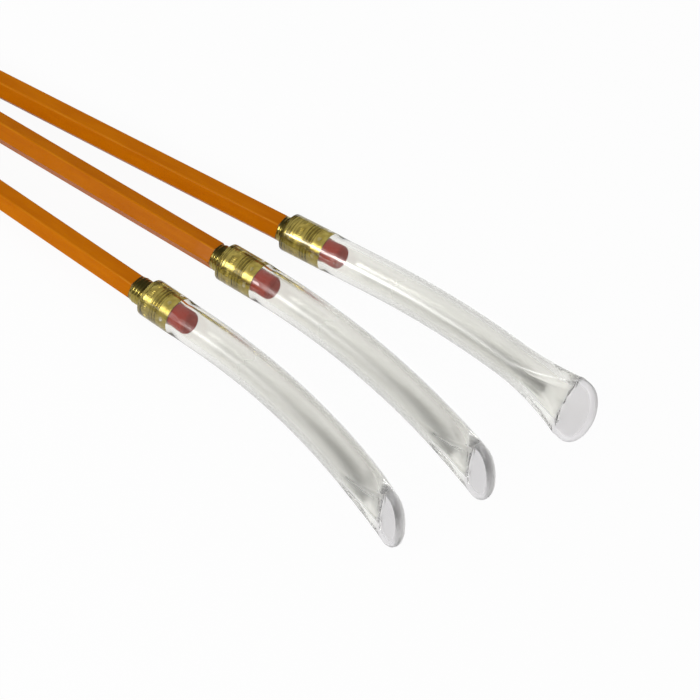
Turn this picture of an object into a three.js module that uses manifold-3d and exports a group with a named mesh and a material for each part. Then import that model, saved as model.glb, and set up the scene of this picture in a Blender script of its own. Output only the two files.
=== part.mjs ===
// Three pencils, each with a clear chewable topper pushed over its ferrule, fanned out on a table.
// Millimetres, +Z up. A unit is modelled along its own +X axis, with x = 0 at the ferrule's rear lip.
// It is then tilted until it rests on the table, and turned to its heading about its pencil's point.

import * as THREE from 'three';
import { mergeVertices } from 'three/addons/utils/BufferGeometryUtils.js';
import Module from 'manifold-3d';

// Pencil: a hexagonal body of two glued slats round a graphite lead, sharpened at the far end
const acrossFlats = 7.15;
const pencilLength = 168;
const sharpenAngle = 10.5;
const leadRadius = 1;
const leadPointRadius = 0.2;
const tenonLength = 6.2;
const glueLine = 0.1;

// Ferrule: a rolled brass sleeve with four ribs, a raised band, three more ribs and two plain lips
const ferruleLength = 14.85;
const ferruleRadius = 3.75;
const ferruleWall = 0.25;
const ribHeight = 0.15;
const ribWidth = 0.62;
const ribPitch = 0.95;
const rearRibStart = 1.25;
const rearRibCount = 4;
const bandStart = 5.05;
const bandLength = 3.3;
const bandHeight = 0.12;
const frontRibStart = 9.5;
const frontRibCount = 3;

// Eraser plug, held in the front half of the ferrule
const eraserStickOut = 5.7;
const eraserEdgeRound = 0.9;

// Chewable tube: stretched over the ferrule's ribs, round beyond them, and pinched flat and heat-sealed
// into a rounded tab at its far end. The lumen is closed at the seal, where the tab starts, and the
// outside goes on flaring a little past it.
const tubeLength = 106.2;
const tubeBoreRadius = 3.85;
const tubeWall = 1.55;
const stretchEase = 2;
const pinchLength = 21;
const pinchPower = 2;
const flareOverrun = 1.5;
const tabLength = 10.2;
const tabWidth = 18.5;
const tabThickness = 2.8;
const tabEndRound = 6.2;
const tabEndPower = 2;
const tabEdgeThinning = 0.7;
const slitHalfWidth = 5.9;
const slitHalfHeight = 0.15;

// How far each tube has been pushed on: from the ferrule's rear lip to the tube's mouth
const frontMouthPlace = 5;
const middleMouthPlace = 3.4;
const backMouthPlace = 2.3;

// How much of each tube is straight, from its mouth to where its bend starts
const frontStraight = 20.6;
const middleStraight = 9.6;
const backStraight = 29;

// Where the points of the outer pencils lie from the point of the middle one
const frontPointBehind = 9.9;
const frontPointBeside = 13.15;
const backPointAhead = 7.95;
const backPointBeside = 9;

// Clearances between pieces that sit in or against each other
const fitClearance = 0.1;
const leadClearance = 0.08;

// How fine the round pieces are
const roundSides = 24;
const leadSides = 12;
const bendRings = 9;
const pinchRings = 8;
const tabEndRings = 6;

// The three units, with their angles in degrees. heading is the pencil's direction seen from above,
// hexRoll is how far its hexagon is rolled from a level flat, tubeBend is how far the tube has bent
// to its end, and tabRoll is how far the flat tab stands up from level.
const units = [
  {
    name: 'front', pointX: -frontPointBehind, pointY: -frontPointBeside, heading: -3.11,
    hexRoll: 0, mouthX: frontMouthPlace, straight: frontStraight, tubeBend: 22.4, tabRoll: 82,
  },
  {
    name: 'middle', pointX: 0, pointY: 0, heading: 0,
    hexRoll: -14, mouthX: middleMouthPlace, straight: middleStraight, tubeBend: 21.9, tabRoll: 82,
  },
  {
    name: 'back', pointX: backPointAhead, pointY: backPointBeside, heading: 3.58,
    hexRoll: 0, mouthX: backMouthPlace, straight: backStraight, tubeBend: 17.3, tabRoll: 59,
  },
];

// Sizes that follow from the ones above
const hexCornerRadius = acrossFlats / 2 / Math.cos(Math.PI / 6);
const ferruleBore = ferruleRadius - ferruleWall;
const tenonRadius = ferruleBore - fitClearance;
const eraserRadius = ferruleBore - fitClearance;
const eraserTip = ferruleLength + eraserStickOut;
const stretchOverRibs = ferruleRadius + ribHeight + fitClearance - tubeBoreRadius;
const tubeRadius = tubeBoreRadius + tubeWall;
const sealStart = tubeLength - tabLength;
const pinchStart = sealStart - pinchLength;
const tabHalfFlat = (tabWidth - tabThickness) / 2;
const slitHalfFlat = slitHalfWidth - slitHalfHeight;
const slope = Math.tan(THREE.MathUtils.degToRad(sharpenAngle));

const lacquer = new THREE.MeshStandardMaterial({ color: 0xc96a08, roughness: 0.35, metalness: 0 });
const brass = new THREE.MeshStandardMaterial({ color: 0xc9a548, roughness: 0.28, metalness: 1 });
const rubber = new THREE.MeshStandardMaterial({ color: 0xa8483a, roughness: 0.8, metalness: 0 });
const graphite = new THREE.MeshStandardMaterial({ color: 0x35363a, roughness: 0.45, metalness: 0.3 });
const clearVinyl = new THREE.MeshStandardMaterial({
  color: 0xe2e3df, roughness: 0.12, metalness: 0, transparent: true, opacity: 0.35,
});

const wasm = await Module();
wasm.setup();

// A solid of revolution about +X, from a profile of [x, radius] pairs that rises along +X
function revolve(profile, sides) {
  const points = profile.map(([x, radius]) => new THREE.Vector2(radius, x));
  const geometry = new THREE.LatheGeometry(points, sides);
  geometry.rotateZ(-Math.PI / 2);
  return geometry;
}

function toSolid(geometry) {
  const bare = geometry.clone();
  bare.deleteAttribute('normal');
  bare.deleteAttribute('uv');
  const merged = mergeVertices(bare, 1e-4);
  const mesh = new wasm.Mesh({
    numProp: 3,
    vertProperties: new Float32Array(merged.attributes.position.array),
    triVerts: new Uint32Array(merged.index.array),
  });
  return new wasm.Manifold(mesh);
}

function toGeometry(solid) {
  const mesh = solid.getMesh();
  const geometry = new THREE.BufferGeometry();
  geometry.setAttribute('position', new THREE.BufferAttribute(mesh.vertProperties, 3));
  geometry.setIndex(new THREE.BufferAttribute(mesh.triVerts, 1));
  return geometry;
}

// A hexagonal bar along +X with two flats level, from x = start to x = end
function hexBar(start, end) {
  const outline = new THREE.Shape();
  for (let corner = 0; corner < 6; corner += 1) {
    const angle = corner * Math.PI / 3;
    const y = hexCornerRadius * Math.cos(angle);
    const z = hexCornerRadius * Math.sin(angle);
    if (corner === 0) outline.moveTo(-z, y);
    else outline.lineTo(-z, y);
  }
  const geometry = new THREE.ExtrudeGeometry(outline, { depth: end - start, bevelEnabled: false });
  geometry.rotateY(Math.PI / 2);
  geometry.translate(start, 0, 0);
  return geometry;
}

// The sharpened and turned shape of the whole wooden body, before the lead's groove is cut
function woodBody() {
  const coneTip = -pencilLength;
  const woodTip = coneTip + (leadRadius + leadClearance * 2) / slope;
  const coneReach = hexCornerRadius * 1.2;
  const envelope = revolve([
    [woodTip, 0],
    [woodTip, (woodTip - coneTip) * slope],
    [coneTip + coneReach / slope, coneReach],
    [-fitClearance, coneReach],
    [-fitClearance, tenonRadius],
    [tenonLength, tenonRadius],
    [tenonLength, 0],
  ], roundSides);
  const bar = toSolid(hexBar(coneTip, tenonLength + fitClearance));
  const groove = toSolid(revolve([
    [coneTip, 0],
    [coneTip, leadRadius + leadClearance],
    [tenonLength + fitClearance, leadRadius + leadClearance],
    [tenonLength + fitClearance, 0],
  ], leadSides));
  return bar.intersect(toSolid(envelope)).subtract(groove);
}

// One of the two glued slats: side is +1 for the upper slat and -1 for the lower one
function slat(body, side) {
  const length = pencilLength + tenonLength + 2;
  const half = new THREE.BoxGeometry(length, acrossFlats * 2, acrossFlats);
  half.translate(length / 2 - pencilLength - 1, 0, side * (acrossFlats + glueLine) / 2);
  return toGeometry(body.intersect(toSolid(half)));
}

function leadCore() {
  const coneTip = -pencilLength;
  return revolve([
    [coneTip + leadPointRadius / slope * 0.6, 0],
    [coneTip + leadPointRadius / slope, leadPointRadius],
    [coneTip + leadRadius / slope, leadRadius],
    [tenonLength, leadRadius],
    [tenonLength, 0],
  ], leadSides);
}

// The outline of a run of rolled ribs, each a small rounded rise over the plain sleeve
function ribs(start, count) {
  const outline = [];
  for (let rib = 0; rib < count; rib += 1) {
    const left = start + rib * ribPitch;
    outline.push([left, ferruleRadius]);
    outline.push([left + ribWidth / 2, ferruleRadius + ribHeight]);
    outline.push([left + ribWidth, ferruleRadius]);
  }
  return outline;
}

function ferruleSleeve() {
  const outside = [
    [0, ferruleRadius],
    ...ribs(rearRibStart, rearRibCount),
    [bandStart, ferruleRadius],
    [bandStart + bandHeight, ferruleRadius + bandHeight],
    [bandStart + bandLength - bandHeight, ferruleRadius + bandHeight],
    [bandStart + bandLength, ferruleRadius],
    ...ribs(frontRibStart, frontRibCount),
    [ferruleLength, ferruleRadius],
  ];
  const closed = [...outside, [ferruleLength, ferruleBore], [0, ferruleBore], [0, ferruleRadius]];
  return revolve(closed, roundSides);
}

function eraserPlug() {
  const rear = tenonLength + fitClearance;
  const profile = [[rear, 0], [rear, eraserRadius]];
  for (let step = 0; step <= 4; step += 1) {
    const angle = step / 4 * Math.PI / 2;
    profile.push([
      eraserTip - eraserEdgeRound + eraserEdgeRound * Math.sin(angle),
      eraserRadius - eraserEdgeRound + eraserEdgeRound * Math.cos(angle),
    ]);
  }
  profile.push([eraserTip, 0]);
  return revolve(profile, roundSides);
}

// The tube's centre and sideways direction at a distance from its mouth: straight at first, then one
// even bend in the level plane
function centreline(distance, unit) {
  const radius = (tubeLength - unit.straight) / THREE.MathUtils.degToRad(unit.tubeBend);
  const angle = Math.max(0, distance - unit.straight) / radius;
  return {
    centre: new THREE.Vector3(
      unit.mouthX + Math.min(distance, unit.straight) + radius * Math.sin(angle),
      -radius * (1 - Math.cos(angle)),
      0,
    ),
    side: new THREE.Vector3(Math.sin(angle), Math.cos(angle), 0),
  };
}

function mix(a, b, share) {
  return a + (b - a) * share;
}

// How far the tube is pinched: 0 while it is round, 1 from overrun past the heat seal
function pinch(distance, overrun) {
  const share = (distance - pinchStart) / (pinchLength + overrun);
  return THREE.MathUtils.clamp(share, 0, 1) ** pinchPower;
}

// The place at which the ferrule's front lip is inside the tube, as a distance from the tube's mouth
function lipPlace(unit) {
  return ferruleLength - unit.mouthX + fitClearance;
}

// How much the ferrule widens the tube, all the way to its front lip and dying away just beyond it
function stretch(distance, unit) {
  const lip = lipPlace(unit);
  return stretchOverRibs * (1 - THREE.MathUtils.smoothstep(distance, lip, lip + stretchEase));
}

// One closed ring of points round the centreline: two half circles with a flat between them. A round
// tube has no flat, and one pinched between a circle and a line has a flat that grows evenly, so its
// broad faces are flat triangles and its edges are cones.
function ring(distance, unit, halfFlat, radius) {
  const { centre, side } = centreline(distance, unit);
  const roll = THREE.MathUtils.degToRad(unit.tabRoll);
  const up = new THREE.Vector3(0, 0, 1);
  const wide = side.clone().multiplyScalar(Math.cos(roll)).addScaledVector(up, Math.sin(roll));
  const thin = side.clone().multiplyScalar(-Math.sin(roll)).addScaledVector(up, Math.cos(roll));
  const points = [];
  for (let step = 0; step < roundSides; step += 1) {
    const angle = (step + 0.5) / roundSides * Math.PI * 2;
    const flatEnd = Math.sign(Math.cos(angle)) * halfFlat;
    points.push(centre.clone()
      .addScaledVector(wide, flatEnd + radius * Math.cos(angle))
      .addScaledVector(thin, radius * Math.sin(angle)));
  }
  return points;
}

function outerRing(distance, unit) {
  const share = pinch(distance, flareOverrun);
  const radius = tubeRadius + stretch(distance, unit);
  return ring(distance, unit, tabHalfFlat * share, mix(radius, tabThickness / 2, share));
}

function innerRing(distance, unit) {
  const share = pinch(distance, 0);
  const radius = tubeBoreRadius + stretch(distance, unit);
  return ring(distance, unit, slitHalfFlat * share, mix(radius, slitHalfHeight, share));
}

// The tab's full width just past the seal, and its rounded end
function tabEnd(unit) {
  const start = tubeLength - tabEndRound;
  const rings = [outerRing(sealStart + flareOverrun, unit), outerRing(start, unit)];
  for (let step = 1; step <= tabEndRings; step += 1) {
    const angle = step / (tabEndRings + 0.5) * Math.PI / 2;
    const distance = start + tabEndRound * Math.sin(angle) ** (2 / tabEndPower);
    const halfWidth = tabWidth / 2 * Math.cos(angle) ** (2 / tabEndPower);
    const radius = tabThickness / 2 * (step === tabEndRings ? tabEdgeThinning : 1);
    rings.push(ring(distance, unit, Math.max(halfWidth - radius, 0), radius));
  }
  return rings;
}

// Distances from the mouth at which the wall gets a ring, as far as the heat seal
function stations(unit) {
  const lip = lipPlace(unit);
  const list = [0, lip, lip + stretchEase / 2, lip + stretchEase];
  for (let step = 0; step <= bendRings; step += 1) {
    list.push(mix(unit.straight, pinchStart, step / bendRings));
  }
  for (let step = 1; step <= pinchRings; step += 1) {
    list.push(mix(pinchStart, sealStart, step / pinchRings));
  }
  return list.sort((a, b) => a - b);
}

// A closed skin over a run of rings, each end closed by a fan about its centre
function skinOver(rings) {
  const count = rings[0].length;
  const positions = [];
  const index = [];
  for (const points of rings) {
    for (const point of points) positions.push(point.x, point.y, point.z);
  }
  for (let row = 0; row + 1 < rings.length; row += 1) {
    for (let step = 0; step < count; step += 1) {
      const next = (step + 1) % count;
      const a = row * count + step;
      const b = row * count + next;
      index.push(a, b, b + count, a, b + count, a + count);
    }
  }
  const ends = [[rings[0], 0, false], [rings[rings.length - 1], (rings.length - 1) * count, true]];
  for (const [points, base, forward] of ends) {
    const centre = new THREE.Vector3();
    for (const point of points) centre.addScaledVector(point, 1 / count);
    const hub = positions.length / 3;
    positions.push(centre.x, centre.y, centre.z);
    for (let step = 0; step < count; step += 1) {
      const next = (step + 1) % count;
      if (forward) index.push(hub, base + step, base + next);
      else index.push(hub, base + next, base + step);
    }
  }
  const geometry = new THREE.BufferGeometry();
  geometry.setAttribute('position', new THREE.Float32BufferAttribute(positions, 3));
  geometry.setIndex(index);
  return geometry;
}

// The tube's whole skin: up the lumen from the heat seal to the mouth, then back along the outside
function chewTube(unit) {
  const inner = stations(unit).reverse().map((distance) => innerRing(distance, unit));
  const outer = stations(unit).map((distance) => outerRing(distance, unit));
  return skinOver([...inner, ...outer, ...tabEnd(unit)]);
}

function piece(name, geometry, material) {
  const mesh = new THREE.Mesh(geometry, material);
  mesh.name = name;
  return mesh;
}

function lowest(meshes, tilt) {
  const point = new THREE.Vector3();
  let low = Infinity;
  for (const mesh of meshes) {
    mesh.updateWorldMatrix(true, false);
    const places = mesh.geometry.attributes.position;
    for (let i = 0; i < places.count; i += 1) {
      point.fromBufferAttribute(places, i).applyMatrix4(mesh.matrixWorld);
      low = Math.min(low, point.x * Math.sin(tilt) + point.z * Math.cos(tilt));
    }
  }
  return low;
}

// A unit leans on two places, the sharpened end of its pencil and the underside of its tube. This
// finds the tilt at which both are level, and how far down they then reach.
function restOnTable(pencilMeshes, tubeMesh) {
  let flat = 0;
  let steep = 0.1;
  for (let step = 0; step < 40; step += 1) {
    const tilt = (flat + steep) / 2;
    if (lowest(pencilMeshes, tilt) > lowest([tubeMesh], tilt)) flat = tilt;
    else steep = tilt;
  }
  return { tilt: flat, reach: lowest([tubeMesh], flat) };
}

function makeUnit(unit) {
  const body = woodBody();
  const hexParts = new THREE.Group();
  hexParts.add(
    piece(`${unit.name}_upper_slat`, slat(body, 1), lacquer),
    piece(`${unit.name}_lower_slat`, slat(body, -1), lacquer),
  );
  hexParts.rotation.x = THREE.MathUtils.degToRad(unit.hexRoll);
  const tube = piece(`${unit.name}_chew_tube`, chewTube(unit), clearVinyl);
  const pencilMeshes = [...hexParts.children];
  const { tilt, reach } = restOnTable(pencilMeshes, tube);

  const tilted = new THREE.Group();
  tilted.position.x = pencilLength * Math.cos(tilt);
  tilted.rotation.y = -tilt;
  tilted.add(
    hexParts,
    piece(`${unit.name}_lead`, leadCore(), graphite),
    piece(`${unit.name}_ferrule`, ferruleSleeve(), brass),
    piece(`${unit.name}_eraser`, eraserPlug(), rubber),
    tube,
  );

  const placed = new THREE.Group();
  placed.name = unit.name;
  placed.position.set(unit.pointX, unit.pointY, -reach);
  placed.rotation.z = THREE.MathUtils.degToRad(unit.heading);
  placed.add(tilted);
  return placed;
}

const set = new THREE.Group();
for (const unit of units) set.add(makeUnit(unit));

// The origin is on the table, under the middle of the whole set
set.updateMatrixWorld(true);
const box = new THREE.Box3().setFromObject(set, true);
const middle = box.getCenter(new THREE.Vector3());
set.position.set(-middle.x, -middle.y, -box.min.z);

export default set;
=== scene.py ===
# Three hexagonal pencils fanned out on a table, each with a clear chewable topper over its ferrule.
# Every piece is shaped in millimetres along its own pencil, and then placed in the frame in metres.
import math

import bpy
import numpy as np
from mathutils import Matrix, Vector


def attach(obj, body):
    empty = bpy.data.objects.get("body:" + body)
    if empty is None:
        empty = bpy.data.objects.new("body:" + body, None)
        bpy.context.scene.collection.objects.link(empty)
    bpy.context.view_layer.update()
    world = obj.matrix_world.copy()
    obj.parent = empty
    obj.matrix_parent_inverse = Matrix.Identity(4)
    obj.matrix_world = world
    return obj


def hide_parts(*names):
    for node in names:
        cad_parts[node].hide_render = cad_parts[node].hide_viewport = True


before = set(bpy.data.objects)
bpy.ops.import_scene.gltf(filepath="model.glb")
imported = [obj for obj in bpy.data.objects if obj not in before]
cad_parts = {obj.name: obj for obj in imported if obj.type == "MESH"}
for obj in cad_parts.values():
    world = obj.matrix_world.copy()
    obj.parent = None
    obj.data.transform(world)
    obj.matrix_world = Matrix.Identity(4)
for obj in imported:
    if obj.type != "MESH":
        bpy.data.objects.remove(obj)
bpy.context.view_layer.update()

MM = 0.001
TURN = 2 * math.pi

# The pencil
ACROSS_FLATS = 7.15
PENCIL_LENGTH = 168.0
SHARPEN_ANGLE = math.radians(10.5)
EDGE_ROUND = 0.55
LACQUER_THICKNESS = 0.08
LEAD_RADIUS = 1.0
LEAD_POINT_RADIUS = 0.22
LEAD_BORE_RADIUS = 1.04
SHOULDER_PLACE = -0.1
TENON_LENGTH = 6.2
TENON_RADIUS = 3.4

# The ferrule
FERRULE_LENGTH = 14.85
FERRULE_RADIUS = 3.75
FERRULE_BORE = 3.5
LIP_ROUND = 0.1
RIB_HEIGHT = 0.21
RIB_WIDTH = 0.93
RIB_PITCH = 0.97
REAR_RIB_START = 0.65
REAR_RIB_COUNT = 4
FRONT_RIB_START = 8.6
FRONT_RIB_COUNT = 3
BAND_START = 5.05
BAND_LENGTH = 3.3
BAND_HEIGHT = 0.1
BAND_SHOULDER = 0.3
RIDGE_GROUPS = 7
RIDGES_IN_GROUP = 4
RIDGE_PITCH = 0.56
RIDGE_WIDTH = 0.42
RIDGE_HEIGHT = 0.17
RIDGE_LENGTH = 2.1
FIRST_RIDGE_ANGLE = math.radians(41.5)
CRIMP_PLACE = 12.9
CRIMP_COUNT = 5
CRIMP_DEPTH = 0.16
CRIMP_SPREAD = 0.42

# The eraser
ERASER_RADIUS = 3.4
ERASER_STICK_OUT = 5.7
ERASER_EDGE_ROUND = 0.9
ERASER_CROWN = 0.18

# The chewable tube: it grips the ferrule, which stretches it, and is pinched flat at its far end
TUBE_LENGTH = 106.2
TUBE_BORE = 3.85
TUBE_RADIUS = 5.4
STRETCH = 0.15
STRETCH_EASE = 4.0
GRIP_BORE = 3.72
MOUTH_ROUND = 0.14
PINCH_LENGTH = 21.0
PINCH_POWER = 2.0
FLARE_OVERRUN = 1.5
TAB_LENGTH = 10.2
TAB_WIDTH = 18.5
TAB_THICKNESS = 2.8
TAB_END_ROUND = 6.2
TAB_END_POWER = 2.0
SLIT_HALF_WIDTH = 5.9
SLIT_HALF_HEIGHT = 0.15
FACET_LENGTH = 13.5
FACET_SHARE = 0.75
SEAL_GROOVE = 0.16
SEAL_WIDTH = 0.4
RIM_WIDTH = 1.5
RIM_STEP = 0.16

# The painted shade in the bore: a grey band painted along the bore's floor for the shadow seen through the
# tube, with a darker painted streak in it. Which way that floor faces, how near to that way the band and its
# streak reach as cosines, and where they grow and end, in millimetres from the mouth of a straightened tube
PAINTED_SHADE_SIDEWAYS = 0.34
PAINTED_SHADE_DOWN = 0.94
PAINTED_SHADE_REACH = (0.62, 0.98)
PAINTED_SHADE_GROWS = (20, 80)
PAINTED_SHADE_ENDS = (82, 91)
SHADE_STREAK_REACH = (0.84, 0.96)
SHADE_STREAK_GROWS = (52, 84)
SHADE_STREAK_ENDS = (87.6, 89.0)
SHADE_STREAK_RAGGED = 1.2
PAST_PENCIL = (17, 26)

# What differs between the three units, with angles in degrees: how far the hexagon is rolled, where
# the tube's mouth is from the ferrule's rear lip, how much of the tube is straight, its bend, and how
# far its tab stands up
UNITS = {
    "front": {"hex_roll": 0.0, "mouth": 5.0, "straight": 20.6, "bend": 22.4, "tab_roll": 82.0},
    "middle": {"hex_roll": -14.0, "mouth": 3.4, "straight": 9.6, "bend": 21.9, "tab_roll": 82.0},
    "back": {"hex_roll": 0.0, "mouth": 2.3, "straight": 29.0, "bend": 17.3, "tab_roll": 59.0},
}

# The photograph's view: where the middle ferrule's rear lip is in its 700 by 700 frame, and its scale
IMAGE_SIZE = 700
ANCHOR_PIXEL_X = 217.8
ANCHOR_PIXEL_Y = 256.3
PIXELS_PER_METRE = 3610
VIEW_AZIMUTH = math.radians(37.82)
VIEW_ELEVATION = math.radians(52)
VIEW_DISTANCE = 0.8
SENSOR_WIDTH = 36.0

# The light: the room as matt surfaces have it, as gloss mirrors it and as clear pieces let it through,
# each in front and behind, and the window that is seen through clear pieces alone
ROOM_FILL = 0.6
ROOM_TURNS = (-0.75, 0.1)
ROOM_IN_GLOSS_FRONT = 0.24
ROOM_IN_GLOSS_BACK = 0.07
ROOM_THROUGH_FRONT = 0.66
ROOM_THROUGH_BACK = 0.95
WINDOW_THROUGH = 2.4
WINDOW_EDGE = math.radians(30)
WINDOW_MIDDLE = math.radians(17)
LAMPS_FACE = (0.045, 0.0, 0.0)
KEY_DIRECTION = (-0.27, -0.75, 0.61)
KEY_DISTANCE = 1.0
KEY_SIZE = 0.24
KEY_POWER = 2.4
SURROUND_SIZE = 0.55
SURROUND_POWER = 1.5
SURROUND_DISTANCE = 1.02
FLOOR_HALF_WIDTH = 2.0
FLOOR_LEVEL = -0.0001
FLOOR_GLOW = 0.94
FLOOR_GLOW_IN_GLOSS = 0.55
FLOOR_GLOW_THROUGH = 0.75

# Sizes that follow from the ones above
SLOPE = math.tan(SHARPEN_ANGLE)
ERASER_TIP = FERRULE_LENGTH + ERASER_STICK_OUT
SEAL_START = TUBE_LENGTH - TAB_LENGTH
PINCH_START = SEAL_START - PINCH_LENGTH
TAB_HALF_FLAT = (TAB_WIDTH - TAB_THICKNESS) / 2
SLIT_HALF_FLAT = SLIT_HALF_WIDTH - SLIT_HALF_HEIGHT


# Meshes


def signed_volume(points, faces):
    total = 0.0
    for face in faces:
        first = points[face[0]]
        for step in range(1, len(face) - 1):
            total += np.dot(first, np.cross(points[face[step]], points[face[step + 1]]))
    return total


def skin(name, rings, closing):
    """A closed mesh over rings of equally many points. closing is "loop" where the last ring joins the
    first one, and "ends" where each end is closed by a fan about its middle. Each point keeps its place
    along the pencil in the attribute bench."""
    rings = [np.asarray(ring, float) for ring in rings]
    count = len(rings[0])
    points = np.concatenate(rings)
    rows = len(rings) if closing == "loop" else len(rings) - 1
    faces = []
    for row in range(rows):
        here = row * count
        there = (row + 1) % len(rings) * count
        for step in range(count):
            beside = (step + 1) % count
            faces.append((here + step, here + beside, there + beside, there + step))
    if closing == "ends":
        last = (len(rings) - 1) * count
        hubs = np.array([rings[0].mean(0), rings[-1].mean(0)])
        points = np.concatenate([points, hubs])
        for step in range(count):
            beside = (step + 1) % count
            faces.append((beside, step, len(points) - 2))
            faces.append((last + step, last + beside, len(points) - 1))
    if signed_volume(points, faces) < 0:
        faces = [face[::-1] for face in faces]
    mesh = bpy.data.meshes.new(name)
    mesh.from_pydata(points.tolist(), [], faces)
    mesh.polygons.foreach_set("use_smooth", [True] * len(faces))
    keep_bench(mesh, points)
    obj = bpy.data.objects.new(name, mesh)
    bpy.context.scene.collection.objects.link(obj)
    return obj


def keep_bench(mesh, points):
    bench = mesh.attributes.get("bench") or mesh.attributes.new("bench", "FLOAT_VECTOR", "POINT")
    bench.data.foreach_set("vector", np.asarray(points, np.float32).ravel())


def keep_shares(mesh, name, shares):
    mesh.attributes.new(name, "FLOAT", "POINT").data.foreach_set("value", np.asarray(shares, np.float32))


def apply_modifiers(obj):
    """Works the modifiers into the mesh and takes them off."""
    depsgraph = bpy.context.evaluated_depsgraph_get()
    mesh = bpy.data.meshes.new_from_object(obj.evaluated_get(depsgraph))
    obj.modifiers.clear()
    obj.data = mesh
    mesh.polygons.foreach_set("use_smooth", [True] * len(mesh.polygons))
    return obj


def mix(a, b, share):
    return a + (b - a) * share


def smooth_step(value, start, end):
    share = np.clip((value - start) / (end - start), 0, 1)
    return share * share * (3 - 2 * share)


def circle(count):
    return np.arange(count) / count * TURN


def round_ring(x, radius, angles):
    """A ring about the pencil's axis. x and radius are numbers, or one value for each angle."""
    ones = np.ones_like(angles)
    return np.stack([x * ones, radius * np.cos(angles), radius * np.sin(angles)], 1)


# Where each unit is


def surface_centre(node):
    """The middle of a node's whole surface, which for a round piece is on its axis."""
    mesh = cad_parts[node].data
    mesh.calc_loop_triangles()
    corners = np.array([[mesh.vertices[i].co for i in t.vertices] for t in mesh.loop_triangles])
    areas = np.linalg.norm(np.cross(corners[:, 1] - corners[:, 0], corners[:, 2] - corners[:, 0]), axis=1)
    return Vector((corners.mean(1) * areas[:, None]).sum(0) / areas.sum())


def unit_matrix(unit):
    """Takes a point in millimetres along the unit's pencil, with x = 0 at the ferrule's rear lip, y to
    its side and z up, to its place in the frame."""
    middle = surface_centre(f"{unit}_ferrule")
    axis = (middle - surface_centre(f"{unit}_lead")).normalized()
    up = (Vector((0, 0, 1)) - axis * axis.z).normalized()
    side = up.cross(axis)
    reach = min((v.co - middle).dot(axis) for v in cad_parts[f"{unit}_ferrule"].data.vertices)
    origin = middle + axis * reach
    turn = Matrix((axis, side, up)).transposed().to_4x4()
    return Matrix.Translation(origin) @ turn @ Matrix.Scale(MM, 4)


# Node trees


def put(tree, socket, value):
    if isinstance(value, bpy.types.NodeSocket):
        tree.links.new(value, socket)
    else:
        socket.default_value = value


def node(tree, kind, inputs=None, **settings):
    """Adds a node. inputs takes a number, a colour or another node's output by socket name or place."""
    made = tree.nodes.new(kind)
    for name, value in settings.items():
        setattr(made, name, value)
    for socket, value in (inputs or {}).items():
        put(tree, made.inputs[socket], value)
    return made


def maths(tree, operation, *values):
    made = node(tree, "ShaderNodeMath", dict(enumerate(values)), operation=operation)
    return made.outputs[0]


def product(tree, *values):
    """The first value times the next one, and so on."""
    result = values[0]
    for value in values[1:]:
        result = maths(tree, "MULTIPLY", result, value)
    return result


def spread(tree, value, low, high, to_low, to_high):
    """Maps low..high to to_low..to_high, and no further."""
    inputs = {"Value": value, "From Min": low, "From Max": high, "To Min": to_low, "To Max": to_high}
    return node(tree, "ShaderNodeMapRange", inputs).outputs[0]


def mix_colours(tree, share, first, second):
    made = node(tree, "ShaderNodeMix", data_type="RGBA", clamp_factor=True)
    put(tree, made.inputs[0], share)
    put(tree, made.inputs[6], first)
    put(tree, made.inputs[7], second)
    return made.outputs[2]


def colour(red, green, blue):
    """An sRGB colour, each from 0 to 255, as the linear one that a shader takes."""
    parts = []
    for part in (red, green, blue):
        share = part / 255
        parts.append(share / 12.92 if share <= 0.04045 else ((share + 0.055) / 1.055) ** 2.4)
    return (*parts, 1.0)


def bench_place(tree, stretch=(1, 1, 1)):
    """A point's place along its own pencil, in millimetres times stretch."""
    place = node(tree, "ShaderNodeAttribute", attribute_name="bench", attribute_type="GEOMETRY")
    mapping = node(tree, "ShaderNodeMapping", {"Vector": place.outputs["Vector"], "Scale": stretch})
    return mapping.outputs[0]


def noise(tree, place, scale, detail=3.0, roughness=0.55, distortion=0.0):
    inputs = {
        "Vector": place,
        "Scale": scale,
        "Detail": detail,
        "Roughness": roughness,
        "Distortion": distortion,
    }
    return node(tree, "ShaderNodeTexNoise", inputs).outputs[0]


def distance_from_axis(tree):
    place = bench_place(tree, (0, 1, 1))
    return node(tree, "ShaderNodeVectorMath", {0: place}, operation="LENGTH").outputs["Value"]


def distance_across(tree):
    """A point's distance from the middle of the bore, and never quite nothing."""
    return maths(tree, "MAXIMUM", distance_from_axis(tree), 0.05)


def bump(tree, height, depth_mm, strength=1.0, normal=None):
    inputs = {"Height": height, "Distance": depth_mm * MM, "Strength": strength}
    if normal is not None:
        inputs["Normal"] = normal
    return node(tree, "ShaderNodeBump", inputs).outputs[0]


def new_material(name):
    """A material with a Principled shader at its output."""
    material = bpy.data.materials.new(name)
    material.use_nodes = True
    tree = material.node_tree
    tree.nodes.clear()
    shader = tree.nodes.new("ShaderNodeBsdfPrincipled")
    output = tree.nodes.new("ShaderNodeOutputMaterial")
    tree.links.new(shader.outputs[0], output.inputs[0])
    return material, tree, shader


def show(tree, shader_output):
    """Links a shader to the material's output, in place of the one there."""
    output = next(n for n in tree.nodes if n.bl_idname == "ShaderNodeOutputMaterial")
    put(tree, output.inputs[0], shader_output)


# Materials


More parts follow.
